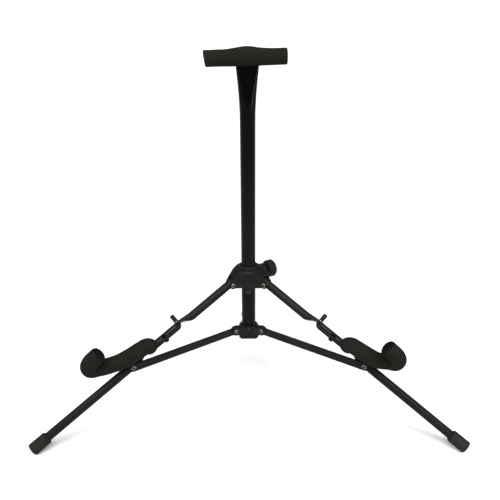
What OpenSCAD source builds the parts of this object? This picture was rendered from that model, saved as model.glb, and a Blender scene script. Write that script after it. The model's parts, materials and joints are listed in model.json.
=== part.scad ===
// Folding saxophone stand: a round post on a three-leg base, a padded T rest at the top,
// and two padded cradle arms on the front legs.
// Millimetres, +Z up, floor at Z = 0. X runs left to right, and the cradle faces -Y.
// The origin is the middle of the footprint's bounding box, on the floor.

/* [Post and T rest] */
// Post tube outside diameter
post_d = 25.4; // [20:0.1:32]
// Tube wall of the post
post_wall = 1.2; // [1:0.1:2]
// Height of the T bar's centre line above the floor
t_height = 600; // [450:1:800]
// Height where the post starts to flatten towards the T bar
flare_z = 500; // [400:1:560]
// Diameter of the steel T bar
t_bar_d = 10; // [8:0.5:14]
// Length of the T foam
t_foam_len = 127; // [100:1:180]
// Outside diameter of the T foam at its ends
t_foam_d = 24.2; // [22:0.2:34]
// How far the T rest is turned about the post
t_yaw = 3; // [0:1:20]
// How far the T rest leans down to the left
t_tilt = 1; // [0:0.1:4]

/* [Legs and feet] */
// Leg tube outside diameter
leg_d = 15; // [12:0.5:20]
// Tube wall of the legs
leg_wall = 1.2; // [0.8:0.1:2]
// Angle of a leg below the horizontal
leg_slope = 29; // [20:0.5:40]
// Distance of the leg pivots from the post's axis
leg_pivot_r = 37; // [34:0.5:45]
// Height of the leg pivots
leg_pivot_z = 216.4; // [180:0.1:260]
// Rubber foot diameter
foot_d = 21; // [18:0.5:28]
// Rubber foot length
foot_len = 30; // [20:1:45]
// Depth of the worn flat under each foot
foot_flat = 0.8; // [0.4:0.1:2]

/* [Hubs and struts] */
// Height of the underside of the sliding hub
hub_base_z = 202.5; // [195:0.5:206]
// Height of the top of the sliding hub's collar
hub_top_z = 246; // [240:0.5:260]
// Distance of the strut pivots from the post's axis, at the lower hub
strut_pivot_r = 33.5; // [30:0.5:40]
// Height of the strut pivots at the lower hub
strut_pivot_z = 119; // [110:0.5:125]
// Distance along the leg from its pivot to the strut's rivet
strut_on_leg = 222; // [180:1:260]
// Height of the rivet hole above the leg's own axis
strut_hole_n = 2; // [0:0.5:3]
// Width of the strut bar
strut_w = 15; // [12:0.5:18]
// Thickness of the strut bar
strut_t = 2.4; // [2:0.1:3]

/* [Cradle arms] */
// Diameter of the arm rod
rod_d = 8; // [6:0.5:10]
// Outside diameter of the arm foam
arm_foam_d = 27.4; // [24:0.2:32]
// Distance along the leg from its pivot to the arm's peg
peg_on_leg = 117.5; // [110:1:140]
// Tilt of the arm's peg about the leg, from upright
peg_tilt = 50; // [20:0.1:60]
// Sideways step of the arm rod away from the leg
arm_step = 28.6; // [24:0.2:34]

/* [Clamp knob] */
// Knob diameter
knob_d = 32; // [24:1:40]
// Knob thickness
knob_t = 15; // [10:1:20]
// Height of the knob's axis
knob_z = 225.5; // [220:0.5:232]
// Diameter of the clamp stud
stud_d = 8; // [6:1:10]

/* [Hidden] */
$fn = 64;
post_r = post_d / 2;
leg_r = leg_d / 2;
foot_r = foot_d / 2;
rod_r = rod_d / 2;
leg_len = (leg_pivot_z - foot_r * cos(leg_slope) + foot_flat) / sin(leg_slope);
foot_axis_r = leg_pivot_r + leg_len * cos(leg_slope);
// furthest reach of a foot from the post's axis, at the upper rim of its end
foot_reach = foot_axis_r + foot_r * sin(leg_slope);
front_reach = foot_axis_r / 2 + (foot_r * sin(leg_slope)) / 2 + foot_r * sin(60);
post_y = (front_reach - foot_reach) / 2;
azimuth_left = 210;
azimuth_right = 330;
azimuth_rear = 90;
knob_azimuth = 30;
fit = 0.05;
gap = 0.35;
// the strut bar runs beside the leg, clear of the tube
strut_in = leg_r + gap;
strut_mid = strut_in + strut_t / 2;
// clevis ears of the sliding hub
ear_t = 3;
ear_in = leg_r + 0.3;
ear_out = ear_in + ear_t;
rivet_r = 2.5;
head_r = 4.2;
head_t = 1.3;
// lower hub
low_base_z = 96;
low_top_z = 121;
low_r = 18.5;
lug_in = 4.2;
lug_out = strut_in + strut_t + 0.35 + 2.2;
lug_r = 8.7;
post_foot_z = low_base_z + 3.5;
// post top
flat_w = 38;
flat_t = 3.4;
// the sleeve sits a little to one side
t_shift = -2.7;
// flattened stretch of the front legs, measured along the leg from its pivot
press_a = 91;
press_b = 113;
press_c = 188;
press_d = 212;
strip_w = 21.7;
strip_t = 3.4;
strip_m = leg_r - strip_t / 2;
// arm rod
rod_m = -0.9;
peg_top = leg_r + 16.5;
bend_r = 4.8;
step_a = 50;
step_turn = 84;
step_r = 9.5;
step_roll = 13.7;
step_run = (arm_step - 2 * step_r * (1 - cos(step_turn))) / sin(step_turn);
step_len = 2 * step_r * sin(step_turn) + step_run * cos(step_turn);
arm_y = arm_step * cos(step_roll);
step_rise = arm_step * sin(step_roll);
level_share = 0.42;
arm_z = rod_m + step_rise;
arm_x = step_a + step_len;
// the padded part of the arm runs through these points: x along the leg, y to the front, z along the peg
arm_start = [arm_x, arm_y, arm_z];
arm_knots = [
  [0, 0, 0],
  [9, 1.3, 1.1],
  [20.3, 2.1, 2.4],
  [42.3, 3.8, 6.3],
  [60.8, 6.9, 13],
  [75.8, 12.6, 19.6],
  [84.2, 20.5, 23.5],
  [83.4, 30.7, 27.3],
  [75.2, 38.4, 29.2],
  [57.9, 48.8, 27.5]
];
// the right arm's hook is bent up sooner, so its run is shorter than the left arm's
right_shift = [-18.6, -1.1, -4.6];
right_share = [0, 0, 0.04, 0.2, 0.62, 1, 1, 1, 1, 1];
right_knots = [for (i = [0:len(arm_knots) - 1]) arm_knots[i] + right_share[i] * right_shift];
arm_steps = 20;
core_steps = 14;
// clamp along its own axis, measured from the post's axis
boss_end = 33;
boss_r = 13;
nut_a = 21;
knob_a = 38.5;
pad_a = post_r + 0.1;
pad_t = 3;

steel = [0.13, 0.13, 0.12];
gloss_black = [0.06, 0.06, 0.07];
nylon = [0.12, 0.12, 0.12];
foam = [0.18, 0.18, 0.16];
rubber = [0.1, 0.1, 0.1];
zinc = [0.75, 0.76, 0.78];
brass_c = [0.72, 0.58, 0.3];

// ---- frames ----

// everything is built round the post's axis, then set at its place in the footprint
module on_post() {
  translate([0, post_y, 0]) children();
}

// x runs outward from the post, y across the leg's plane
module radial(azimuth) {
  on_post() rotate([0, 0, azimuth]) children();
}

// the right-hand pieces are mirror images of the left-hand ones
module right_hand() {
  mirror([1, 0, 0]) children();
}

// x runs down the leg from its pivot, z is square to the leg and up
module on_leg(azimuth) {
  radial(azimuth) translate([leg_pivot_r, 0, leg_pivot_z]) rotate([0, leg_slope, 0]) children();
}

// x along the leg, y out to the front, z along the arm's peg
module on_arm() {
  on_leg(azimuth_left) translate([peg_on_leg, 0, 0]) rotate([peg_tilt, 0, 0]) children();
}

// ---- shared shapes ----

module across(y0, y1, r) {
  translate([0, y1, 0]) rotate([90, 0, 0]) cylinder(r = r, h = y1 - y0);
}

module along(x0, x1, r) {
  translate([x0, 0, 0]) rotate([0, 90, 0]) cylinder(r = r, h = x1 - x0);
}

module stadium(width, thick) {
  for (s = [-1, 1]) translate([s * (width - thick) / 2, 0]) circle(d = thick);
  square([width - thick, thick], center = true);
}

// closed skin over rings of points, each ring with the same number of sides; a hollow skin's last ring
// joins its first, so the rings go up the outside and come back down the inside
module skin(points, sides, hollow = false) {
  rings = len(points) / sides;
  walls = [for (i = [0:rings - (hollow ? 1 : 2)], k = [0:sides - 1], half = [0, 1])
    let(up = (i + 1) % rings * sides, next = (k + 1) % sides)
    let(a = i * sides + k, b = i * sides + next, c = up + k, d = up + next)
    half == 0 ? [a, c, b] : [b, c, d]];
  near = [for (k = [0:sides - 1]) k];
  far = [for (k = [sides - 1:-1:0]) (rings - 1) * sides + k];
  polyhedron(points = points, faces = hollow ? walls : concat([near], walls, [far]));
}

// a tube pressed from round to flat: each station is [height, width, thickness, sideways shift]
module pressed(stations, sides, hollow = false) {
  skin([for (s = stations, k = [0:sides - 1]) let(a = (k + 0.5) * 360 / sides)
    [s[2] / 2 * cos(a) + sign(cos(a)) * (s[1] - s[2]) / 2, s[2] / 2 * sin(a) + s[3], s[0]]], sides, hollow);
}

// stations of the change from one section to another, eased at both ends
function ease(u) = u * u * (3 - 2 * u);
function change(s, t, steps) = [for (i = [0:steps]) let(u = i / steps)
  [s[0] + u * (t[0] - s[0]), for (k = [1:3]) s[k] + ease(u) * (t[k] - s[k])]];

// ---- post and T rest ----

flare_h = t_height - flare_z;
post_outside = [
  [post_foot_z, post_d, post_d, 0],
  [flare_z, post_d, post_d, 0],
  [flare_z + 0.2 * flare_h, 26, 24.4, 0],
  [flare_z + 0.42 * flare_h, 28.2, 20.5, 0],
  [flare_z + 0.65 * flare_h, 32, 13.8, 0],
  [t_height - 14, 36.2, 6.5, 0],
  [t_height + 0.1, flat_w, flat_t, 0]
];
post_inside = [for (i = [len(post_outside) - 1:-1:0]) post_outside[i] - [0, 2 * post_wall, 2 * post_wall, 0]];

module post_tube() {
  color(gloss_black) on_post() difference() {
    rotate([0, 0, t_yaw]) pressed(concat(post_outside, post_inside), 48, hollow = true);
    t_axis() along(-flat_w, flat_w, t_bar_d / 2);
    stop_hole();
    screw_hole();
  }
}

// x runs along the T bar, from the middle of the post's top
module t_axis() {
  rotate([0, 0, t_yaw]) translate([0, 0, t_height]) rotate([0, -t_tilt, 0]) children();
}

module t_frame() {
  on_post() t_axis() translate([t_shift, 0, 0]) children();
}

module t_bar() {
  color(steel) t_frame() along(-t_foam_len / 2 + 4, t_foam_len / 2 - 4, t_bar_d / 2);
}

module t_foam() {
  half = t_foam_len / 2;
  r0 = t_foam_d / 2;
  r1 = r0 + 2.8;
  edge = 3;
  // the foam bulges over the weld, this far each way
  swell = 24;
  color(foam) t_frame() difference() {
    union() {
      along(-half + edge, -swell, r0);
      along(swell, half - edge, r0);
      translate([-half, 0, 0]) rotate([0, 90, 0]) cylinder(r1 = r0 - 1.2, r2 = r0, h = edge);
      translate([half - edge, 0, 0]) rotate([0, 90, 0]) cylinder(r1 = r0, r2 = r0 - 1.2, h = edge);
      translate([-swell, 0, 0]) rotate([0, 90, 0]) cylinder(r1 = r0, r2 = r1, h = swell);
      rotate([0, 90, 0]) cylinder(r1 = r1, r2 = r0, h = swell);
    }
    along(-half - 1, half + 1, t_bar_d / 2 + 0.02);
    translate([-t_shift, 0, -16]) linear_extrude(16) stadium(flat_w + 0.8, 7.6);
  }
}

// ---- lower hub and its fasteners ----

module lug(azimuth, side) {
  radial(azimuth) mirror([0, side < 0 ? 1 : 0, 0])
    translate([0, lug_out, 0]) rotate([90, 0, 0]) linear_extrude(lug_out - lug_in) hull() {
      translate([strut_pivot_r, strut_pivot_z]) circle(r = lug_r);
      translate([4, low_base_z + 8]) square([8, low_top_z - low_base_z - 8]);
    }
}

module lug_cuts(azimuth, side) {
  radial(azimuth) mirror([0, side < 0 ? 1 : 0, 0]) {
    translate([strut_pivot_r - lug_r, strut_in - 0.35, low_base_z - 5])
      cube([4 * lug_r, strut_t + 0.7, 60]);
    translate([strut_pivot_r, 0, strut_pivot_z]) across(0, lug_out + 1, rivet_r);
  }
}

module lower_hub() {
  color(nylon) difference() {
    union() {
      on_post() {
        translate([0, 0, low_base_z]) cylinder(r1 = low_r - 1, r2 = low_r, h = 3);
        translate([0, 0, low_base_z + 3]) cylinder(r = low_r, h = 17);
        translate([0, 0, low_base_z + 20])
          cylinder(r1 = low_r, r2 = post_r + 1.6, h = low_top_z - low_base_z - 20);
        translate([0, -low_r + 0.5, low_base_z]) rotate([-90, 0, 0]) linear_extrude(low_r - 1) polygon([
          [-14, 0], [14, 0], [18, -4], [18, -17], [15, -21], [-15, -21], [-18, -17], [-18, -4]
        ]);
      }
      lug(azimuth_left, 1);
      lug(azimuth_right, -1);
      lug(azimuth_rear, 1);
    }
    on_post() translate([0, 0, post_foot_z]) cylinder(r = post_r, h = 60);
    on_post() screw_hole();
    lug_cuts(azimuth_left, 1);
    lug_cuts(azimuth_right, -1);
    lug_cuts(azimuth_rear, 1);
  }
}

// the screw that holds the post goes in from behind
screw_z = low_base_z + 8;
screw_azimuth = 150;
module screw_hole() {
  rotate([0, 0, screw_azimuth]) translate([0, 0, screw_z]) along(post_r - 4, low_r + 3, 2);
}

module hub_screw() {
  color(zinc) radial(screw_azimuth) translate([0, 0, screw_z]) {
    along(post_r - 4, low_r + 0.1, 2);
    along(low_r + 0.1, low_r + 2, 3.4);
  }
}

module lug_rivet(azimuth, side) {
  color(zinc) radial(azimuth) mirror([0, side < 0 ? 1 : 0, 0])
    translate([strut_pivot_r, 0, strut_pivot_z]) difference() {
      union() {
        across(lug_in, lug_out, rivet_r);
        across(lug_out, lug_out + head_t, head_r);
        across(lug_in - 1, lug_in, head_r);
      }
      across(lug_out - 2, lug_out + head_t + 1, 1.2);
    }
}

// ---- stop screw under the sliding hub ----

stop_z = hub_base_z - 6.3;
module stop_hole() {
  rotate([0, 0, 270]) translate([0, 0, stop_z]) along(post_r - 3, post_r + 3, 2);
}

module stop_screw() {
  color(zinc) radial(270) translate([0, 0, stop_z]) {
    along(post_r - 3, post_r, 2);
    along(post_r, post_r + 1, 6);
    translate([post_r + 1, 0, 0]) rotate([0, 90, 0]) cylinder(r1 = 6, r2 = 3.6, h = 1.2);
  }
}

// ---- sliding hub ----

hub_r = 41.5;
skirt_z = 209;
panel_r = 25.5;
// room for a leg's upper end to turn round its rivet, and over the open leg
slot_over = 0.6;
leg_swing_r = norm([9, leg_r]) + slot_over;
module hub_bell() {
  on_post() rotate_extrude() polygon([
    [0, skirt_z], [hub_r, skirt_z], [hub_r, 217], [hub_r - 2, 223], [hub_r - 6.5, 229.5],
    [29, 235.5], [22, 240.5], [post_r + 3.6, hub_top_z - 3.4], [post_r + 3.6, hub_top_z - 1],
    [post_r + 2.6, hub_top_z], [0, hub_top_z]
  ]);
}

// plan of the hub: three leg wings joined by three flat panels
module hub_plan() {
  on_post() translate([0, 0, skirt_z - 1]) linear_extrude(hub_top_z - skirt_z + 2) union() {
    for (a = [azimuth_left, azimuth_right, azimuth_rear])
      rotate([0, 0, a]) translate([0, -ear_out]) square([hub_r + 3, 2 * ear_out]);
    intersection_for(a = [0, 120, 240])
      rotate([0, 0, a + 30]) translate([-60, -60]) square([60 + panel_r, 120]);
  }
}

module upper_hub() {
  color(nylon) difference() {
    union() {
      intersection() {
        hub_bell();
        hub_plan();
      }
      on_post() translate([0, 0, hub_base_z]) cylinder(r = post_r + 3.6, h = 12);
      radial(knob_azimuth) translate([0, 0, knob_z]) {
        along(14, boss_end - 1.5, boss_r);
        translate([boss_end - 1.5, 0, 0]) rotate([0, 90, 0])
          cylinder(r1 = boss_r, r2 = boss_r - 1.2, h = 1.5);
      }
    }
    on_post() translate([0, 0, hub_base_z - 1]) cylinder(r = post_r + fit, h = 80);
    // hollow under the panels, round the sleeve
    on_post() difference() {
      translate([0, 0, skirt_z - 1]) cylinder(r = 21, h = 24);
      translate([0, 0, skirt_z - 2]) cylinder(r = post_r + 3.6, h = 26);
      rotate([0, 0, knob_azimuth]) translate([0, -boss_r, skirt_z - 2]) cube([40, 2 * boss_r, 40]);
    }
    for (a = [azimuth_left, azimuth_right, azimuth_rear]) radial(a) {
      translate([leg_pivot_r, ear_in, leg_pivot_z]) rotate([90, 0, 0]) linear_extrude(2 * ear_in) union() {
        circle(r = leg_swing_r);
        translate([-leg_swing_r, -20]) square([60, 20]);
        rotate(-leg_slope) translate([0, -30]) square([60, 30 + leg_r + slot_over]);
      }
      translate([leg_pivot_r, 0, leg_pivot_z]) across(-ear_out - 1, ear_out + 1, rivet_r);
    }
    radial(knob_azimuth) translate([0, 0, knob_z]) {
      along(0, boss_end + 1, stud_d / 2 + 0.4);
      along(nut_a, boss_end + 1, 6.5);
    }
  }
}

module clamp_nut() {
  color(brass_c) radial(knob_azimuth) translate([0, 0, knob_z]) difference() {
    along(nut_a, boss_end - 0.2, 6.5);
    along(nut_a - 1, boss_end + 1, stud_d / 2 + fit);
  }
}

// one rivet per leg: its shank is left out between the ears, where the pivot is open
module leg_rivet(azimuth) {
  color(zinc) radial(azimuth) translate([leg_pivot_r, 0, leg_pivot_z])
    for (m = [0, 1]) mirror([0, m, 0]) difference() {
      union() {
        across(ear_in, ear_out, rivet_r);
        across(ear_out, ear_out + head_t, head_r);
      }
      across(ear_out - 2, ear_out + head_t + 1, 1.2);
    }
}

// ---- clamp ----

module clamp_pad() {
  color(nylon) radial(knob_azimuth) translate([0, 0, knob_z]) along(pad_a, pad_a + pad_t, stud_d / 2 + 0.2);
}

module knob_stud() {
  color(zinc) radial(knob_azimuth) translate([0, 0, knob_z]) along(pad_a + pad_t + fit, knob_a + 9, stud_d / 2);
}

module knob() {
  color(nylon) radial(knob_azimuth) translate([0, 0, knob_z]) difference() {
    union() {
      translate([knob_a, 0, 0]) rotate([0, 90, 0]) cylinder(r1 = knob_d / 2 - 1, r2 = knob_d / 2, h = 1.5);
      along(knob_a + 1.5, knob_a + knob_t - 3, knob_d / 2);
      translate([knob_a + knob_t - 3, 0, 0]) rotate([0, 90, 0])
        cylinder(r1 = knob_d / 2, r2 = knob_d / 2 - 2.6, h = 3);
    }
    along(knob_a - 1, knob_a + 9, stud_d / 2);
    for (i = [0:9]) rotate([36 * i, 0, 0]) translate([0, 0, knob_d / 2 + 2.2])
      along(knob_a - 1, knob_a + knob_t + 1, 3);
  }
}

// ---- struts ----

strut_out_r = leg_pivot_r + strut_on_leg * cos(leg_slope) + strut_hole_n * sin(leg_slope);
strut_out_z = leg_pivot_z - strut_on_leg * sin(leg_slope) + strut_hole_n * cos(leg_slope);
strut_dr = strut_out_r - strut_pivot_r;
strut_dz = strut_out_z - strut_pivot_z;
strut_len = norm([strut_dr, strut_dz]);

module strut_frame(azimuth, side) {
  radial(azimuth) mirror([0, side < 0 ? 1 : 0, 0])
    translate([strut_pivot_r, 0, strut_pivot_z]) rotate([0, -atan2(strut_dz, strut_dr), 0]) children();
}

module strut(azimuth, side) {
  color(steel) strut_frame(azimuth, side) difference() {
    union() {
      across(strut_in, strut_in + strut_t, strut_w / 2);
      translate([strut_len, 0, 0]) across(strut_in, strut_in + strut_t, strut_w / 2);
      translate([0, strut_in, -strut_w / 2]) cube([strut_len, strut_t, strut_w]);
    }
    across(0, 30, rivet_r + fit);
    translate([strut_len, 0, 0]) across(0, 30, rivet_r);
  }
}

module strut_rivet(azimuth, side) {
  color(zinc) strut_frame(azimuth, side) translate([strut_len, 0, 0]) difference() {
    union() {
      across(-leg_r, strut_in + strut_t, rivet_r);
      across(strut_in + strut_t, strut_in + strut_t + head_t, head_r);
      across(-leg_r - head_t - 0.4, -leg_r - 0.4, head_r);
      across(-leg_r - 0.5, -leg_r + 1, rivet_r);
    }
    across(strut_in + strut_t - 1, strut_in + strut_t + head_t + 1, 1.2);
  }
}

// ---- legs and feet ----

module leg_holes(side) {
  across(-leg_r - 1, leg_r + 1, rivet_r + 0.3);
  translate([strut_on_leg, 0, strut_hole_n]) across(-leg_r - 1, leg_r + 1, rivet_r + fit);
}

module leg_tube() {
  difference() {
    along(-9, leg_len - 4, leg_r);
    along(-10, leg_len, leg_r - leg_wall);
    leg_holes();
  }
}

// tube pressed flat towards the front where the strut and the arm's peg go through
module pressed_leg() {
  round_d = 2 * leg_r;
  difference() {
    rotate([peg_tilt, 0, 0]) rotate([90, 0, 90]) pressed(concat(
      [[-9, round_d, round_d, 0]],
      change([press_a, round_d, round_d, 0], [press_b, strip_w, strip_t, strip_m], 6),
      change([press_c, strip_w, strip_t, strip_m], [press_d, round_d, round_d, 0], 5),
      [[leg_len - 4, round_d, round_d, 0]]
    ), 40);
    along(-10, press_a - 2, leg_r - leg_wall);
    along(press_d + 2, leg_len, leg_r - leg_wall);
    leg_holes();
    translate([peg_on_leg, 0, 0]) rotate([peg_tilt, 0, 0]) cylinder(r = rod_r + fit, h = 30);
  }
}

module foot(azimuth) {
  color(rubber) difference() {
    on_leg(azimuth) difference() {
      union() {
        translate([leg_len - foot_len, 0, 0]) rotate([0, 90, 0])
          cylinder(r1 = foot_r - 1.6, r2 = foot_r, h = 1.6);
        along(leg_len - foot_len + 1.6, leg_len, foot_r);
      }
      along(leg_len - foot_len - 1, leg_len - 4, leg_r);
    }
    translate([-600, -600, -20]) cube([1200, 1200, 20]);
  }
}

// ---- cradle arms, left hand ----

module arm_clip() {
  wall = 1.6;
  x0 = 29;
  x1 = 36.5;
  side = -rod_r - gap - wall;
  low = rod_m - rod_r - gap - wall;
  color(zinc * 0.35) on_arm() {
    translate([x0, side, low]) cube([x1 - x0, wall, leg_r - strip_t - low]);
    translate([x0, side, low]) cube([x1 - x0, rod_r + 6.2, wall]);
    translate([x0, 0.4, low - 1.2]) cube([x1 - x0, 2.4, 1.3]);
  }
}

module arm_ring() {
  color(zinc) on_arm() difference() {
    translate([0, 0, leg_r + gap]) cylinder(r = rod_r + 2.2, h = 1.2);
    cylinder(r = rod_r, h = 30);
  }
}

// point on the padded part of the arm: a smooth curve through its knots, u from 0 to 1
function knot(knots, i) = let(n = len(knots) - 1)
  i < 0 ? 2 * knots[0] - knots[1] : i > n ? 2 * knots[n] - knots[n - 1] : knots[i];
function arm_point(knots, u) =
  let(n = len(knots) - 1, i = min(floor(u * n), n - 1), v = u * n - i)
  let(a = knot(knots, i - 1), b = knot(knots, i), c = knot(knots, i + 1), d = knot(knots, i + 2))
  arm_start + b + v / 2 * (c - a + v * (2 * a - 5 * b + 4 * c - d + v * (3 * b - a - 3 * c + d)));

// the rod's centre line, from the peg's tip to its end inside the foam; it leaves the leg level, then rises
function rolled(x, y) = [x, y * cos(step_roll),
  rod_m + step_rise * ease(max(0, (y / arm_step - level_share) / (1 - level_share)))];
function rod_path(knots) = concat(
  [[0, 0, peg_top]],
  [for (a = [0:15:90]) [bend_r * (1 - cos(a)), 0, rod_m + bend_r * (1 - sin(a))]],
  [for (a = [0:15:step_turn]) rolled(step_a + step_r * sin(a), step_r * (1 - cos(a)))],
  [for (a = [step_turn:-15:0])
    rolled(step_a + step_len - step_r * sin(a), arm_step - step_r * (1 - cos(a)))],
  [for (i = [1:core_steps]) arm_point(knots, 0.95 * i / core_steps)]
);
// the sleeve starts on the sideways step, just clear of the leg, and rounds the corner more gently
sleeve_in = 15.4;
sleeve_r = 14;
function sleeve_path(knots) = concat(
  [for (a = [0, 5, 15, 30, 45, 60, 75, 90])
    rolled(step_a + step_len / 2 + sleeve_r * (1 - cos(a)), sleeve_in + sleeve_r * sin(a))],
  [for (i = [2:arm_steps]) arm_point(knots, i / arm_steps)]
);

// a round bar swept along a path as one closed shell, its rings turned as little as possible
function unit(v) = v / norm(v);
function tangent(path, i) = unit(path[min(i + 1, len(path) - 1)] - path[max(i - 1, 0)]);
function square_to(v, t) = unit(v - (v * t) * t);
module sweep(path, r, sides) {
  last = len(path) - 1;
  sidevec = [for (i = 0, v = square_to([0.2, 1, 0.1], tangent(path, 0)); i <= last;
    i = i + 1, v = i <= last ? square_to(v, tangent(path, i)) : v) v];
  skin([for (i = [0:last], k = [0:sides - 1])
    let(a = 360 * k / sides, across = cross(tangent(path, i), sidevec[i]))
    path[i] + r * (cos(a) * sidevec[i] + sin(a) * across)], sides);
}

module arm_rod(knots) {
  color(steel) on_arm() sweep(rod_path(knots), rod_r, 20);
}

module arm_foam(knots) {
  color(foam) on_arm() difference() {
    sweep(sleeve_path(knots), arm_foam_d / 2, 24);
    sweep(rod_path(knots), rod_r + 0.25, 16);
  }
}

post_tube();
t_bar();
t_foam();
lower_hub();
hub_screw();
stop_screw();
lug_rivet(azimuth_left, 1);  // lug_rivet_left
lug_rivet(azimuth_right, -1);  // lug_rivet_right
lug_rivet(azimuth_rear, 1);  // lug_rivet_rear
upper_hub();
clamp_nut();
leg_rivet(azimuth_left);  // leg_rivet_left
leg_rivet(azimuth_right);  // leg_rivet_right
leg_rivet(azimuth_rear);  // leg_rivet_rear
clamp_pad();
knob();
knob_stud();
strut(azimuth_left, 1);  // strut_left
strut(azimuth_right, -1);  // strut_right
strut(azimuth_rear, 1);  // strut_rear
strut_rivet(azimuth_left, 1);  // strut_rivet_left
strut_rivet(azimuth_right, -1);  // strut_rivet_right
strut_rivet(azimuth_rear, 1);  // strut_rivet_rear
color(steel) on_leg(azimuth_left) pressed_leg();  // leg_left
right_hand() color(steel) on_leg(azimuth_left) pressed_leg();  // leg_right
color(steel) on_leg(azimuth_rear) leg_tube();  // leg_rear
foot(azimuth_left);  // foot_left
foot(azimuth_right);  // foot_right
foot(azimuth_rear);  // foot_rear
arm_clip();  // arm_clip_left
right_hand() arm_clip();  // arm_clip_right
arm_rod(arm_knots);  // arm_rod_left
right_hand() arm_rod(right_knots);  // arm_rod_right
arm_foam(arm_knots);  // arm_foam_left
right_hand() arm_foam(right_knots);  // arm_foam_right
arm_ring();  // arm_ring_left
right_hand() arm_ring();  // arm_ring_right
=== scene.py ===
"""Looks of a folding tripod instrument stand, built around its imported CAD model."""

import json
import math

import bmesh
import bpy
from mathutils import Matrix, Vector, noise


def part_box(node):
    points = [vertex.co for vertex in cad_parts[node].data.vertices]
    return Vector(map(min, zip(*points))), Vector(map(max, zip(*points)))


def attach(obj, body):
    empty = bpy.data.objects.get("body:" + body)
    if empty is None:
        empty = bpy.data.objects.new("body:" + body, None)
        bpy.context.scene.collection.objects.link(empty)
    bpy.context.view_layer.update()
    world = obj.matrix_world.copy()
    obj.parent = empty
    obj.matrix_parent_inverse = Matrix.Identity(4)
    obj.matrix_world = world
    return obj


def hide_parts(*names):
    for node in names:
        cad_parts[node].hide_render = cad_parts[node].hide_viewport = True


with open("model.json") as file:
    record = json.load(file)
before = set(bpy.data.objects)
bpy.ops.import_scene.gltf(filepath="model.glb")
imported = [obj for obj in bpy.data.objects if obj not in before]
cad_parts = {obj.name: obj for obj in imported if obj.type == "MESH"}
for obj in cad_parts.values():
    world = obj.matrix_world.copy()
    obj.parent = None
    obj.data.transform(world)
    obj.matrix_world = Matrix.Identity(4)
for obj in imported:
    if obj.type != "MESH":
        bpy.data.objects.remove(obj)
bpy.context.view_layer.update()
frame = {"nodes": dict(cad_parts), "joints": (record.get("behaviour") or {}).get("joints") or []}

MM = 0.001
SIDES = ("left", "right", "rear")
HANDS = ("left", "right")
AZIMUTH = {"left": 210, "right": 330, "rear": 90}
LEG_SLOPE = 29
T_YAW = 3
T_TILT = 1

POST_LOW, POST_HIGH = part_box("post_tube")
AXIS = (POST_LOW + POST_HIGH) / 2
JOINTS = {j["name"]: j for j in frame["joints"]}


# ---- materials ----


class Nodes:
    """A small helper that wires one material's nodes."""

    def __init__(self, name):
        self.material = bpy.data.materials.new(name)
        self.material.use_nodes = True
        self.tree = self.material.node_tree
        self.shader = self.tree.nodes["Principled BSDF"]
        self.place = self.add("ShaderNodeTexCoord").outputs["Object"]

    def add(self, kind, **values):
        node = self.tree.nodes.new(kind)
        for key, value in values.items():
            setattr(node, key, value)
        return node

    def link(self, source, target):
        self.tree.links.new(source, target)

    def set(self, socket, value):
        self.shader.inputs[socket].default_value = value

    def noise(self, scale, detail=3.0, roughness=0.5, stretch=None):
        node = self.add("ShaderNodeTexNoise")
        node.inputs["Scale"].default_value = scale
        node.inputs["Detail"].default_value = detail
        node.inputs["Roughness"].default_value = roughness
        where = self.place
        if stretch:
            mapping = self.add("ShaderNodeMapping")
            mapping.inputs["Scale"].default_value = stretch
            self.link(self.place, mapping.inputs["Vector"])
            where = mapping.outputs["Vector"]
        self.link(where, node.inputs["Vector"])
        return node.outputs["Fac"]

    def ramp(self, source, low, high, dark, light):
        node = self.add("ShaderNodeValToRGB")
        node.color_ramp.elements[0].position = low
        node.color_ramp.elements[1].position = high
        node.color_ramp.elements[0].color = (*dark, 1)
        node.color_ramp.elements[1].color = (*light, 1)
        self.link(source, node.inputs["Fac"])
        return node.outputs["Color"]

    def span(self, source, low, high, floor, top):
        node = self.add("ShaderNodeMapRange")
        for key, value in (("From Min", low), ("From Max", high), ("To Min", floor), ("To Max", top)):
            node.inputs[key].default_value = value
        self.link(source, node.inputs["Value"])
        return node.outputs["Result"]

    def mix(self, factor, first, second):
        node = self.add("ShaderNodeMix", data_type="RGBA")
        self.link(factor, node.inputs["Factor"])
        self.link(first, node.inputs["A"])
        self.link(second, node.inputs["B"])
        return node.outputs["Result"]

    def bump(self, *layers):
        """layers are (height source, strength, distance in metres), coarse first."""
        normal = None
        for source, strength, distance in layers:
            node = self.add("ShaderNodeBump")
            node.inputs["Strength"].default_value = strength
            node.inputs["Distance"].default_value = distance
            self.link(source, node.inputs["Height"])
            if normal is not None:
                self.link(normal, node.inputs["Normal"])
            normal = node.outputs["Normal"]
        self.link(normal, self.shader.inputs["Normal"])


def grey(value, warm=0.0):
    return (value * (1 + warm), value * (1 + warm * 0.8), value * (1 - warm))


def painted(name, dark, light, rough, chips, specular=0.22, coat=0.0, warm=0.06):
    """Stove enamel on steel: fine orange peel, faint handling marks and a few rubbed spots."""
    m = Nodes(name)
    cloud = m.ramp(m.noise(14, 5, 0.6), 0.35, 0.7, grey(dark, warm), grey(light, warm))
    rubbed = m.ramp(m.noise(55, 8, 0.75), 0.68, 0.72, grey(0), grey(1))
    worn = m.ramp(m.noise(240, 2), 0.3, 0.8, grey(chips * 0.7, warm), grey(chips, warm))
    m.link(m.mix(rubbed, cloud, worn), m.shader.inputs["Base Color"])
    m.link(m.span(m.noise(30, 6, 0.65), 0.3, 0.7, rough - 0.06, rough + 0.09),
           m.shader.inputs["Roughness"])
    m.bump((m.noise(420, 2, 0.4), 0.10, 0.0004), (m.noise(2600, 2, 0.5), 0.10, 0.0001))
    m.set("Specular IOR Level", specular)
    m.set("Coat Weight", coat)
    m.set("Coat Roughness", 0.12)
    return m.material


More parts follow.
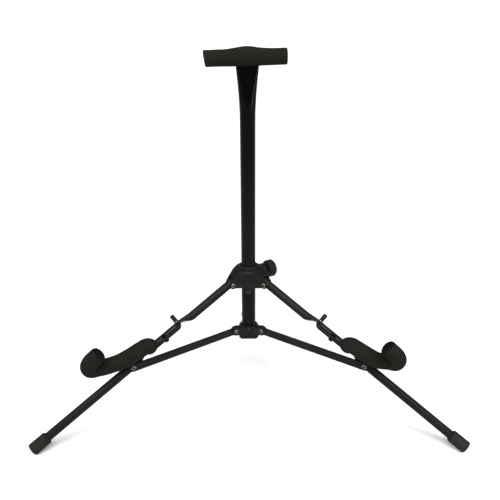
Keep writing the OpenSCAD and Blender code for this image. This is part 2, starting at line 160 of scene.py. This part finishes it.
def height_graded(name, upper, lower, top, bottom):
    """Enamel on a tube: gloss black at the top, grading to the legs' lighter, warmer satin lower down."""
    m = Nodes(name)
    split = m.add("ShaderNodeSeparateXYZ")
    m.link(m.place, split.inputs["Vector"])
    height = m.span(split.outputs["Z"], bottom, top, 0.0, 1.0)
    satin = m.ramp(m.noise(14, 5, 0.6), 0.35, 0.7, grey(lower, 0.16), grey(lower * 1.5, 0.16))
    black = m.ramp(m.noise(20, 5, 0.6), 0.35, 0.7, grey(upper, -0.1), grey(upper * 1.8, -0.1))
    m.link(m.mix(height, satin, black), m.shader.inputs["Base Color"])
    m.link(m.span(height, 0.0, 1.0, 0.42, 0.13), m.shader.inputs["Roughness"])
    m.link(m.span(height, 0.0, 1.0, 0.055, 0.060), m.shader.inputs["Specular IOR Level"])
    m.bump((m.noise(420, 2, 0.4), 0.08, 0.0004), (m.noise(2600, 2, 0.5), 0.08, 0.0001))
    return m.material


def moulded(name, dark, light, rough, grain=1500.0, depth=0.22):
    """Glass-filled nylon from a spark-eroded mould: an even fine grain, shinier where it is handled."""
    m = Nodes(name)
    cloud = m.ramp(m.noise(22, 4, 0.55), 0.35, 0.68, grey(dark, 0.12), grey(light, 0.12))
    dust = m.ramp(m.noise(160, 8, 0.8), 0.62, 0.72, grey(0), grey(1))
    pale = m.ramp(m.noise(700, 2), 0.3, 0.8, grey(light * 1.15, 0.03), grey(light * 1.6, 0.03))
    m.link(m.mix(dust, cloud, pale), m.shader.inputs["Base Color"])
    m.link(m.span(m.noise(45, 5, 0.6), 0.3, 0.7, rough - 0.08, rough + 0.08),
           m.shader.inputs["Roughness"])
    m.bump((m.noise(grain, 3, 0.6), depth, 0.00012), (m.noise(grain * 3.1, 2, 0.5), depth * 0.6, 0.00005))
    m.set("Specular IOR Level", 0.10)
    return m.material


def foamed(name, dark, light):
    """Closed-cell rubber foam: a matte skin with fine cells, faint rub marks and dust in the pores."""
    m = Nodes(name)
    cloud = m.ramp(m.noise(18, 6, 0.6), 0.32, 0.7, grey(dark, 0.13), grey(light, 0.13))
    speck = m.ramp(m.noise(1900, 3, 0.7), 0.56, 0.66, grey(0), grey(1))
    pale = m.ramp(m.noise(320, 2), 0.3, 0.8, grey(light * 1.05, 0.12), grey(light * 1.5, 0.12))
    m.link(m.mix(speck, cloud, pale), m.shader.inputs["Base Color"])
    m.link(m.span(m.noise(60, 5, 0.6), 0.3, 0.7, 0.78, 0.93), m.shader.inputs["Roughness"])
    cells = m.add("ShaderNodeTexVoronoi")
    cells.inputs["Scale"].default_value = 1400
    m.link(m.place, cells.inputs["Vector"])
    m.bump((m.noise(90, 4, 0.55), 0.22, 0.0010), (m.noise(700, 3, 0.6), 0.25, 0.00022),
           (cells.outputs["Distance"], 0.30, 0.00012))
    m.set("Specular IOR Level", 0.07)
    return m.material


def plated(name, tint, rough):
    """Zinc plate or bare brass: fine rolling lines, dull spots and a soft uneven gloss."""
    m = Nodes(name)
    dull = tuple(c * 0.55 for c in tint)
    m.link(m.ramp(m.noise(260, 6, 0.7), 0.35, 0.6, dull, tint), m.shader.inputs["Base Color"])
    m.link(m.span(m.noise(900, 4, 0.6), 0.3, 0.7, rough - 0.08, rough + 0.14),
           m.shader.inputs["Roughness"])
    m.bump((m.noise(1800, 2, 0.5, stretch=(1, 1, 0.15)), 0.25, 0.00004))
    m.set("Metallic", 1.0)
    return m.material


SATIN = painted("satin_black_enamel", 0.0036, 0.0062, 0.42, 0.020, specular=0.08, warm=0.16)
# the post's colour steps from gloss black at the top to a lighter, warmer satin towards the bottom
POST_ENAMEL = height_graded("height_graded_black_enamel", 0.0005, 0.0026, 0.46, 0.27)
NYLON = moulded("black_nylon", 0.0028, 0.0050, 0.50)
KNOB_NYLON = moulded("black_knob_nylon", 0.0034, 0.0060, 0.46, grain=1100)
FOAM = foamed("black_foam", 0.0040, 0.0066)
# the arm-tip plug: dark glossy plastic whose dark colour is painted shade, standing in for the shaded inside
# of the open foam bore; its glints come from the lamps
PLUG_BORE_SHADE = painted("glossy_plug_bore_shade", 0.0012, 0.0026, 0.20, 0.012, specular=0.13, warm=0.10)
RUBBER = moulded("black_rubber", 0.0060, 0.0100, 0.72, grain=900, depth=0.3)
ZINC = plated("zinc_plate", (0.17, 0.165, 0.148), 0.32)
DULL_ZINC = plated("dull_zinc_plate", (0.034, 0.033, 0.030), 0.40)
BRASS = plated("bare_brass", (0.40, 0.29, 0.13), 0.30)


# ---- mesh helpers ----


def make(name, mesh, material, body, nodes, smooth_angle=35):
    """A finished piece: smooth shaded, riding on its body, standing for its CAD nodes."""
    mesh.shade_smooth()
    mesh.set_sharp_from_angle(angle=math.radians(smooth_angle))
    mesh.materials.clear()
    mesh.materials.append(material)
    obj = bpy.data.objects.new(name, mesh)
    bpy.context.scene.collection.objects.link(obj)
    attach(obj, body)
    if nodes:
        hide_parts(*nodes)
    return obj


def mesh_from(name, points, faces):
    mesh = bpy.data.meshes.new(name)
    mesh.from_pydata([tuple(p) for p in points], [], faces)
    mesh.validate()
    bm = bmesh.new()
    bm.from_mesh(mesh)
    bmesh.ops.recalc_face_normals(bm, faces=bm.faces)
    bm.to_mesh(mesh)
    bm.free()
    return mesh


def ringed(rings, closed=False):
    """Points and quads of a skin over rings with equal counts; ends are fans unless closed."""
    n = len(rings[0])
    points = [p for ring in rings for p in ring]
    faces = []
    count = len(rings)
    for i in range(count if closed else count - 1):
        a, b = i * n, (i + 1) % count * n
        for k in range(n):
            l = (k + 1) % n
            faces.append((a + k, a + l, b + l, b + k))
    if not closed:
        for start, ring in ((0, rings[0]), ((count - 1) * n, rings[-1])):
            centre = len(points)
            points.append(sum((Vector(p) for p in ring), Vector()) / n)
            faces += [(centre, start + k, start + (k + 1) % n) for k in range(n)]
    return points, faces


def cad_copy(node):
    """The CAD node's own mesh with its split corners welded and its flat faces merged."""
    mesh = frame["nodes"][node].data.copy()
    bm = bmesh.new()
    bm.from_mesh(mesh)
    bmesh.ops.remove_doubles(bm, verts=bm.verts, dist=0.01 * MM)
    bmesh.ops.dissolve_limit(bm, angle_limit=math.radians(0.6), verts=bm.verts, edges=bm.edges)
    bm.to_mesh(mesh)
    bm.free()
    return mesh


def applied(mesh, *modifiers):
    """mesh after the modifiers, each a (type, settings) pair."""
    obj = bpy.data.objects.new("scratch", mesh)
    bpy.context.scene.collection.objects.link(obj)
    for kind, settings in modifiers:
        mod = obj.modifiers.new(kind, kind)
        for key, value in settings.items():
            setattr(mod, key, value)
    bpy.context.view_layer.update()
    shown = obj.evaluated_get(bpy.context.evaluated_depsgraph_get())
    result = bpy.data.meshes.new_from_object(shown)
    bpy.data.objects.remove(obj)
    return result


def moulded_copy(node, voxel, rounds=3):
    """The CAD node as a moulding: remeshed fine and relaxed, so that every edge is softly rounded."""
    return applied(
        cad_copy(node),
        ("REMESH", {"mode": "VOXEL", "voxel_size": voxel * MM, "adaptivity": 0.0}),
        ("SMOOTH", {"iterations": rounds, "factor": 0.5}),
    )


def edged_copy(node, width, segments=2, angle=32):
    """The CAD node with its edges broken by a small bevel."""
    return applied(
        cad_copy(node),
        ("BEVEL", {"width": width * MM, "segments": segments, "limit_method": "ANGLE",
                   "angle_limit": math.radians(angle), "use_clamp_overlap": True}),
    )


def lathe(profile, place, turn=48, closed=False):
    """Skin of a turned part: profile is (distance along, radius) in mm; X of place is the axis."""
    rings = []
    for along, radius in profile:
        rings.append([
            place @ Vector((along * MM, radius * MM * math.cos(2 * math.pi * k / turn),
                            radius * MM * math.sin(2 * math.pi * k / turn)))
            for k in range(turn)])
    return ringed(rings, closed)


def frame_at(origin, x_axis, y_axis):
    """4x4 with the given origin and axes; Z completes them."""
    x = Vector(x_axis).normalized()
    z = x.cross(Vector(y_axis)).normalized()
    y = z.cross(x)
    place = Matrix((x, y, z)).transposed().to_4x4()
    place.translation = Vector(origin)
    return place


def mirrored(points):
    return [Vector((-p[0], p[1], p[2])) for p in points]


def carried(path, normal):
    """Tangents and side vectors along a path, the side carried with the least turning."""
    last = len(path) - 1
    tangents = [(path[min(i + 1, last)] - path[max(i - 1, 0)]).normalized() for i in range(last + 1)]
    sides = []
    side = Vector(normal)
    for t in tangents:
        side = (side - t * side.dot(t)).normalized()
        sides.append(side)
    return tangents, sides


# ---- camera, light and stage ----

CAMERA = bpy.data.cameras.new("camera")
CAMERA.lens = 38.95
CAMERA.shift_x = 0.0034
camera = bpy.data.objects.new("camera", CAMERA)
bpy.context.scene.collection.objects.link(camera)
camera.location = (0, AXIS.y - 0.876, 0.682)
camera.rotation_euler = (
    Matrix.Rotation(math.radians(65), 3, "X") @ Matrix.Rotation(math.radians(-0.3), 3, "Z")).to_euler()
bpy.context.scene.camera = camera


def area_light(name, location, target, size, power, colour=(1, 1, 1)):
    data = bpy.data.lights.new(name, "AREA")
    data.shape = "RECTANGLE"
    data.size, data.size_y = size
    data.energy = power
    data.color = colour
    obj = bpy.data.objects.new(name, data)
    bpy.context.scene.collection.objects.link(obj)
    obj.location = location
    obj.rotation_euler = (Vector(target) - Vector(location)).to_track_quat("-Z", "Y").to_euler()
    return obj


SUN = bpy.data.lights.new("softbox", "SUN")
SUN.energy = 5.2
SUN.angle = math.radians(60)
sun = bpy.data.objects.new("softbox", SUN)
bpy.context.scene.collection.objects.link(sun)
sun.rotation_euler = (math.radians(28), math.radians(-8), 0)
area_light("strip_right", (0.75, -0.75, 0.85), (0, AXIS.y, 0.45), (0.13, 1.0), 9, (0.86, 0.94, 1.0))
area_light("strip_left", (-0.9, -0.9, 0.9), (0, AXIS.y, 0.30), (0.4, 0.9), 4)

world = bpy.data.worlds.new("studio")
world.use_nodes = True
world.node_tree.nodes["Background"].inputs["Color"].default_value = (1, 1, 1, 1)
world.node_tree.nodes["Background"].inputs["Strength"].default_value = 0.42
bpy.context.scene.world = world
bpy.context.scene.view_settings.view_transform = "Standard"


def floor_mesh():
    """A plain flat floor that runs out to the horizon in widening squares."""
    steps = [-400, -60, -8, -2, 2, 8, 60, 400]
    points = [Vector((x, y, 0)) for y in steps for x in steps]
    n = len(steps)
    corners = [j * n + i for j in range(n - 1) for i in range(n - 1)]
    faces = [(k, k + 1, k + n + 1, k + n) for k in corners]
    return mesh_from("floor", points, faces)


FLOOR = Nodes("floor_paper")
FLOOR.link(FLOOR.ramp(FLOOR.noise(3, 3), 0.3, 0.7, (0.63, 0.63, 0.63), (0.66, 0.66, 0.66)),
           FLOOR.shader.inputs["Base Color"])
FLOOR.set("Roughness", 0.9)
FLOOR.set("Specular IOR Level", 0.1)
floor = bpy.data.objects.new("floor", floor_mesh())
floor.data.shade_smooth()
floor.data.materials.append(FLOOR.material)
bpy.context.scene.collection.objects.link(floor)


# ---- post with its pressed, flared top ----

T_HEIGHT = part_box("t_bar")[0].z / 2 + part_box("t_bar")[1].z / 2


def post_rings():
    """Rings up the outside and down the inside; the flat top has a dished face and two ridges."""
    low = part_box("post_tube")[0].z
    flare = T_HEIGHT - 100 * MM
    # share of the way up the flare, width and thickness in mm
    keys = [(0.0, 25.4, 25.4), (0.2, 26, 24.4), (0.42, 28.2, 20.5),
            (0.65, 32, 13.8), (0.86, 36.2, 6.5), (1.0, 38, 3.4)]
    turn = Matrix.Rotation(math.radians(T_YAW), 4, "Z")
    count = 96

    def section(u):
        """Width and thickness, eased through the keys."""
        for i in range(len(keys) - 1):
            u0, u1 = keys[i][0], keys[i + 1][0]
            if u <= u1:
                f = (u - u0) / (u1 - u0)
                before, after = keys[max(i - 1, 0)], keys[min(i + 2, len(keys) - 1)]
                sized = []
                for c in (1, 2):
                    p0, p1 = keys[i][c], keys[i + 1][c]
                    m0 = (p1 - before[c]) / max(u1 - before[0], 1e-6) * (u1 - u0)
                    m1 = (after[c] - p0) / max(after[0] - u0, 1e-6) * (u1 - u0)
                    sized.append((2 * f ** 3 - 3 * f ** 2 + 1) * p0 + (f ** 3 - 2 * f ** 2 + f) * m0
                                 + (3 * f ** 2 - 2 * f ** 3) * p1 + (f ** 3 - f ** 2) * m1)
                return sized
        return keys[-1][1:]

    def ring(z, wall):
        u = max(0.0, (z - flare) / (T_HEIGHT - flare))
        width, thick = section(u)
        w, t = width - 2 * wall, thick - 2 * wall
        dish = 1.1 * max(0.0, (u - 0.25) / 0.75) ** 1.3 * (1 - wall / 4)
        points = []
        for k in range(count):
            a = 2 * math.pi * (k + 0.5) / count
            x = t / 2 * math.cos(a) + math.copysign((w - t) / 2, math.cos(a))
            flat = min(1.0, abs(x) / (w / 2))
            sunk = math.copysign(dish * (1 - flat ** 2) ** 1.5, math.sin(a))
            y = t / 2 * math.sin(a) * (1 + 0.25 * u * flat ** 3) - sunk
            points.append(turn @ Vector((x * MM, y * MM, 0)) + Vector((AXIS.x, AXIS.y, z)))
        return points

    heights = [low, low + 0.4 * MM] + [low + (flare - low) * i / 6 for i in range(1, 7)]
    heights += [flare + (T_HEIGHT - flare) * i / 28 for i in range(1, 29)]
    heights[-1] = T_HEIGHT - 4.2 * MM
    return [ring(z, 0.0) for z in heights] + [ring(z, 1.2) for z in reversed(heights)]


points, faces = ringed(post_rings(), closed=True)
make("post", mesh_from("post", points, faces), POST_ENAMEL, "post", ["post_tube"])


# ---- padded T rest ----


def t_rest():
    """The foam tube on the T bar: it bulges over the weld, and its left end is cut at a slant."""
    low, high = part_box("t_foam")
    centre = (low + high) / 2
    yaw, tilt = math.radians(T_YAW), math.radians(T_TILT)
    along = Vector((math.cos(yaw) * math.cos(tilt), math.sin(yaw) * math.cos(tilt), math.sin(tilt)))
    across = Vector((-math.sin(yaw), math.cos(yaw), 0))
    up = along.cross(across)
    centre.z = (low.z + high.z) / 2 - 1.0 * MM
    half = 63.9
    count = 96
    steps = 110

    def ring(x, r, slant):
        bulge = math.exp(-((x - 1.0) / 21) ** 2)
        points = []
        for k in range(count):
            a = 2 * math.pi * k / count
            y, z = r * math.cos(a), r * math.sin(a)
            lift = 4.0 * bulge * max(0.0, math.sin(a)) ** 1.5 - 0.9 * bulge * max(0.0, -math.sin(a))
            p = centre + (along * (x - slant * z * 0.12) + across * y + up * (z + lift)) * MM
            wobble = noise.noise(p * 60) * 0.22 + noise.noise(p * 240) * 0.06
            p += (across * math.cos(a) + up * math.sin(a)) * wobble * MM
            points.append(p)
        return points

    full = 12.45
    bore = 5.1
    # each end from its bore outwards: distance in, radius and, on the left, share of the slant
    left = [(3.0, bore, 0.4), (0.5, bore + 0.2, 0.9), (0.05, bore + 1.2, 1.0), (0.0, 8.5, 1.0),
            (0.2, full - 1.3, 1.0), (0.8, full - 0.5, 1.0), (2.0, full, 1.0)]
    right = [(0.8, full), (0.25, full - 0.15), (0.0, full - 0.5), (0.0, 8.5),
             (0.05, bore + 1.2), (0.5, bore + 0.2), (3.0, bore)]
    rings = [ring(-half + dx, r, slant) for dx, r, slant in left]
    for i in range(1, steps):
        x = -half + 2.0 + (2 * half - 2.8) * i / steps
        slant = max(0.0, 1 - (x + half) / 34) ** 1.5
        rings.append(ring(x, full, slant))
    rings += [ring(half - dx, r, 0.0) for dx, r in right]
    points, faces = ringed(rings)
    return mesh_from("t_rest_foam", points, faces)


t_foam = make("t_rest_foam", t_rest(), FOAM, "post", ["t_foam"], 60)
make("t_rest_bar", edged_copy("t_bar", 0.6), SATIN, "post", ["t_bar"])


# ---- hubs, knob and fasteners ----

make("upper_hub", moulded_copy("upper_hub", 0.6), NYLON, "sliding_hub", ["upper_hub"], 60)
make("lower_hub", moulded_copy("lower_hub", 0.5), NYLON, "post", ["lower_hub"], 60)
make("clamp_knob", moulded_copy("knob", 0.4), KNOB_NYLON, "clamp", ["knob"], 60)
make("clamp_stud", edged_copy("knob_stud", 0.2), ZINC, "clamp", ["knob_stud"])
make("clamp_pad", edged_copy("clamp_pad", 0.2), NYLON, "pad", ["clamp_pad"])
make("clamp_nut", edged_copy("clamp_nut", 0.3), BRASS, "sliding_hub", ["clamp_nut"])
make("hub_screw", edged_copy("hub_screw", 0.25), ZINC, "post", ["hub_screw"])
make("stop_screw", edged_copy("stop_screw", 0.5, 3), DULL_ZINC, "post", ["stop_screw"])

EYELET_RISE = 1.3
# a rolled eyelet from its outer edge over the roll and down its hole: distance from the face and radius in mm
EYELET = [(0.0, 3.85), (0.3, 4.2), (0.75, 4.0), (1.15, 3.4), (EYELET_RISE, 2.9),
          (1.15, 2.35), (0.4, 2.1), (-2.4, 2.0), (-2.5, 0.05)]
SHANK_R = 2.5


def eyelet(node, azimuth, side, face, tail, headed):
    """A hollow rivet: a rolled eyelet at face, and a bare shank or a flat head at the tail."""
    low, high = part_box(node)
    turn = math.radians(azimuth)
    axis = Vector((-math.sin(turn), math.cos(turn), 0)) * side
    middle = (face + EYELET_RISE + tail) / 2 if headed else 0
    place = frame_at((low + high) / 2 - axis * middle * MM, axis, (0, 0, 1))
    back = [(tail, 0.05), (tail, SHANK_R)]
    if headed:
        back = [(tail, 0.05), (tail, 3.2), (tail + 0.3, 4.0), (tail + 1.0, 4.2), (tail + 1.0, SHANK_R)]
    return lathe(back + [(face, SHANK_R)] + [(face + x, r) for x, r in EYELET], place)


def joined(*skins):
    points, faces = [], []
    for more, quads in skins:
        faces += [tuple(i + len(points) for i in quad) for quad in quads]
        points += more
    return points, faces


# distances along a rivet from the middle of its leg or strut
LEG_R, EAR_IN, EAR_OUT = 7.5, 7.8, 10.8
LUG_IN, LUG_OUT = 4.2, 12.8
STRUT_FACE = 10.25
for side in SIDES:
    turned = -1 if side == "right" else 1
    azimuth = AZIMUTH[side]
    leg, leg_body = f"leg_{side}", f"leg_{side}_body"
    strut, strut_body = f"strut_{side}", f"strut_{side}_body"
    leg_rivet, lug_rivet, strut_rivet = f"leg_rivet_{side}", f"lug_rivet_{side}", f"strut_rivet_{side}"
    pair = joined(*(eyelet(leg_rivet, azimuth, way, EAR_OUT, EAR_IN, False) for way in (-1, 1)))
    make(leg_rivet, mesh_from("leg_rivet", *pair), ZINC, "sliding_hub", [leg_rivet], 40)
    low_pin = eyelet(lug_rivet, azimuth, turned, LUG_OUT, LUG_IN - 1.0, True)
    make(lug_rivet, mesh_from("lug_rivet", *low_pin), ZINC, "post", [lug_rivet], 40)
    pin = eyelet(strut_rivet, azimuth, turned, STRUT_FACE, -LEG_R - 1.7, True)
    make(strut_rivet, mesh_from("strut_rivet", *pin), ZINC, strut_body, [strut_rivet], 40)
    make(strut, edged_copy(strut, 0.5, 3), SATIN, strut_body, [strut])
    make(leg, edged_copy(leg, 0.2), SATIN, leg_body, [leg], 28)
    make(f"foot_{side}", moulded_copy(f"foot_{side}", 0.5), RUBBER, leg_body, [f"foot_{side}"], 60)


# ---- cradle arms ----

ARM_FOAM_R = 13.7
ROD_R = 4.0
STEP_AT, STEP_TURN, STEP_R, STEP_ROLL, STEP = 50, 84, 9.5, 13.7, 28.6
LEVEL_SHARE = 0.42
ROD_M = -0.9
BEND_R = 4.8
PEG_TOP = 24.0
SLEEVE_IN, SLEEVE_R = 15.4, 14
KNOTS = [Vector(k) for k in (
    (0, 0, 0), (9, 1.3, 1.1), (20.3, 2.1, 2.4), (42.3, 3.8, 6.3), (60.8, 6.9, 13),
    (75.8, 12.6, 19.6), (84.2, 20.5, 23.5), (83.4, 30.7, 27.3), (75.2, 38.4, 29.2), (57.9, 48.8, 27.5))]
RIGHT_SHIFT = Vector((-18.6, -1.1, -4.6))
RIGHT_SHARE = (0, 0, 0.04, 0.2, 0.62, 1, 1, 1, 1, 1)
HAND_KNOTS = {"left": KNOTS, "right": [k + RIGHT_SHIFT * share for k, share in zip(KNOTS, RIGHT_SHARE)]}


def cosd(a):
    return math.cos(math.radians(a))


def sind(a):
    return math.sin(math.radians(a))


STEP_RUN = (STEP - 2 * STEP_R * (1 - cosd(STEP_TURN))) / sind(STEP_TURN)
STEP_LEN = 2 * STEP_R * sind(STEP_TURN) + STEP_RUN * cosd(STEP_TURN)
STEP_RISE = STEP * sind(STEP_ROLL)
ARM_START = Vector((STEP_AT + STEP_LEN, STEP * cosd(STEP_ROLL), ROD_M + STEP_RISE))


def arm_point(knots, u):
    """Point on the padded part of the arm, u from 0 to 1, in mm in the arm's own frame."""
    n = len(knots) - 1
    i = min(int(u * n), n - 1)
    v = u * n - i

    def knot(j):
        if j < 0:
            return 2 * knots[0] - knots[1]
        if j > n:
            return 2 * knots[n] - knots[n - 1]
        return knots[j]

    a, b, c, d = knot(i - 1), knot(i), knot(i + 1), knot(i + 2)
    return ARM_START + b + (c - a + (2 * a - 5 * b + 4 * c - d + (3 * b - a - 3 * c + d) * v) * v) * (v / 2)


def rolled(x, y):
    """Point on the sideways step: it leaves the leg level, then rises."""
    u = max(0.0, (y / STEP - LEVEL_SHARE) / (1 - LEVEL_SHARE))
    return Vector((x, y * cosd(STEP_ROLL), ROD_M + STEP_RISE * u * u * (3 - 2 * u)))


def arm_place():
    """The left arm's frame: X down the leg, Y to the front, Z along the peg."""
    joint = JOINTS["arm_left_swing"]
    reach, azimuth = cosd(LEG_SLOPE), AZIMUTH["left"]
    down = Vector((reach * cosd(azimuth), reach * sind(azimuth), -sind(LEG_SLOPE)))
    peg = Vector(joint["axis"])
    return frame_at(joint["pos_m"], down, peg.cross(down))


def evenly(path, count):
    """count + 1 points at equal distances along a path."""
    lengths = [0.0]
    for a, b in zip(path, path[1:]):
        lengths.append(lengths[-1] + (b - a).length)
    out = []
    j = 0
    for i in range(count + 1):
        want = lengths[-1] * i / count
        while j < len(path) - 2 and lengths[j + 1] < want:
            j += 1
        f = (want - lengths[j]) / (lengths[j + 1] - lengths[j])
        out.append(path[j].lerp(path[j + 1], min(1.0, f)))
    return out, lengths[-1]


def softened(path, rounds):
    """The path with its inner points averaged with their neighbours."""
    for _ in range(rounds):
        path = [path[0]] + [(a + 2 * b + c) / 4 for a, b, c in zip(path, path[1:], path[2:])] + [path[-1]]
    return path


def rod_skin(knots):
    path = [Vector((0, 0, PEG_TOP)), Vector((0, 0, PEG_TOP - 0.8)), Vector((0, 0, PEG_TOP - 6))]
    path += [Vector((BEND_R * (1 - cosd(a)), 0, ROD_M + BEND_R * (1 - sind(a))))
             for a in range(0, 91, 10)]
    path += [Vector((15 + 0.5 * i, 0, ROD_M)) for i in range(0, 2 * (STEP_AT - 16), 8)]
    path += [rolled(STEP_AT + STEP_R * sind(a), STEP_R * (1 - cosd(a)))
             for a in range(0, STEP_TURN + 1, 7)]
    path += [rolled(STEP_AT + STEP_LEN - STEP_R * sind(a), STEP - STEP_R * (1 - cosd(a)))
             for a in range(STEP_TURN, -1, -7)]
    path += [arm_point(knots, 0.95 * i / 60) for i in range(1, 61)]
    tangents, sides = carried(path, (0.2, 1, 0.1))
    rings = []
    for i, (p, t, s) in enumerate(zip(path, tangents, sides)):
        r = ROD_R - (0.7 if i == 0 else 0.0)
        b = t.cross(s)
        rings.append([p + (s * math.cos(2 * math.pi * k / 32) + b * math.sin(2 * math.pi * k / 32)) * r
                      for k in range(32)])
    return rings


def arm_foam_skin(knots, seed):
    """The sleeve with its soft folds inside the hook's bend, and the plug in its recessed tip, a shallow disc
    whose dark colour is painted shade for the inside of the bore.
    """
    raw = [rolled(STEP_AT + STEP_LEN / 2 + SLEEVE_R * (1 - cosd(a)), SLEEVE_IN + SLEEVE_R * sind(a))
           for a in range(0, 91, 6)]
    raw += [arm_point(knots, i / 120) for i in range(13, 121)]
    path, length = evenly(softened(evenly(raw, 160)[0], 10), 170)
    tangents, sides = carried(path, (0.2, 1, 0.1))
    count = 72
    bends = []
    for i in range(len(path)):
        a, c = tangents[max(i - 3, 0)], tangents[min(i + 3, len(path) - 1)]
        bends.append((c - a) / max((path[min(i + 3, len(path) - 1)] - path[max(i - 3, 0)]).length, 1e-6))
    rings = []

    def ring(i, r, push=0.0):
        p, t, s = path[i], tangents[i], sides[i]
        b = t.cross(s)
        points = []
        for k in range(count):
            a = 2 * math.pi * k / count
            out = s * math.cos(a) + b * math.sin(a)
            inner = max(0.0, out.dot(bends[i]) * 14)
            fold = 0.75 * inner ** 3 * math.cos(2 * math.pi * i * length / 170 / 5.2 + 1.1 * seed)
            sag = -0.9 * inner ** 2
            q = p + out * (r * (1 + (fold + sag) / ARM_FOAM_R)) + t * push
            broad = noise.noise(q * 0.06 + Vector((seed * 9.1, 0, 0)))
            shake = broad * 0.35 + noise.noise(q * 0.25) * 0.08
            points.append(q + out * shake)
        return points

    rim = [(0, -1.7), (1, -0.55), (2, -0.12)]
    hole = ROD_R + 0.3
    rings.append(ring(0, hole, 2.2))
    rings.append(ring(0, hole + 0.3, 0.5))
    rings.append(ring(0, hole + 1.6))
    rings.append(ring(0, ARM_FOAM_R * 0.7, -0.15))
    for i, dr in rim:
        rings.append(ring(i, ARM_FOAM_R + dr))
    end = len(path) - 1
    for i in range(3, end):
        rings.append(ring(i, ARM_FOAM_R))
    # the tip: a crisp cut rim round a shallow recess
    for r, push in ((ARM_FOAM_R - 0.1, -0.3), (ARM_FOAM_R - 0.5, 0.0), (ARM_FOAM_R - 1.6, 0.0),
                    (ARM_FOAM_R - 2.0, -0.4), (ARM_FOAM_R - 2.3, -2.4), (ARM_FOAM_R * 0.35, -2.6)):
        rings.append(ring(end, r, push))
    # the plug sits on the recess floor; its dark material is painted shade for the inside of the bore
    plug = []
    for r, push in ((ARM_FOAM_R - 2.5, -2.5), (ARM_FOAM_R - 2.5, -1.9), (ARM_FOAM_R - 3.1, -1.2),
                    (ARM_FOAM_R - 4.2, -1.2), (ARM_FOAM_R - 5.4, -1.9), (ARM_FOAM_R - 7.5, -2.3),
                    (1.5, -2.35)):
        plug.append(ring(end, r, push))
    return rings, plug


ARM = arm_place()


def placed(rings, hand):
    out = []
    for r in rings:
        world_points = [ARM @ (p * MM) for p in r]
        out.append(mirrored(world_points) if hand == "right" else world_points)
    return out


for number, hand in enumerate(HANDS):
    knots, body = HAND_KNOTS[hand], f"arm_{hand}"
    rod, foam, ring, clip = (f"arm_{part}_{hand}" for part in ("rod", "foam", "ring", "clip"))
    points, faces = ringed(placed(rod_skin(knots), hand))
    make(rod, mesh_from("arm_rod", points, faces), SATIN, body, [rod], 50)
    sleeve_rings, plug_rings = arm_foam_skin(knots, number + 1)
    points, faces = ringed(placed(sleeve_rings, hand))
    sleeve = make(foam, mesh_from("arm_foam", points, faces), FOAM, body, [foam], 60)
    points, faces = ringed(placed(plug_rings, hand))
    # the tip plug's dark material is painted shade for the shaded inside of the open bore
    make(f"arm_plug_bore_shade_{hand}", mesh_from("arm_plug_bore_shade", points, faces), PLUG_BORE_SHADE, body, [], 60)
    make(ring, edged_copy(ring, 0.2), ZINC, body, [ring])
    make(clip, edged_copy(clip, 0.25), SATIN, f"leg_{hand}_body", [clip])
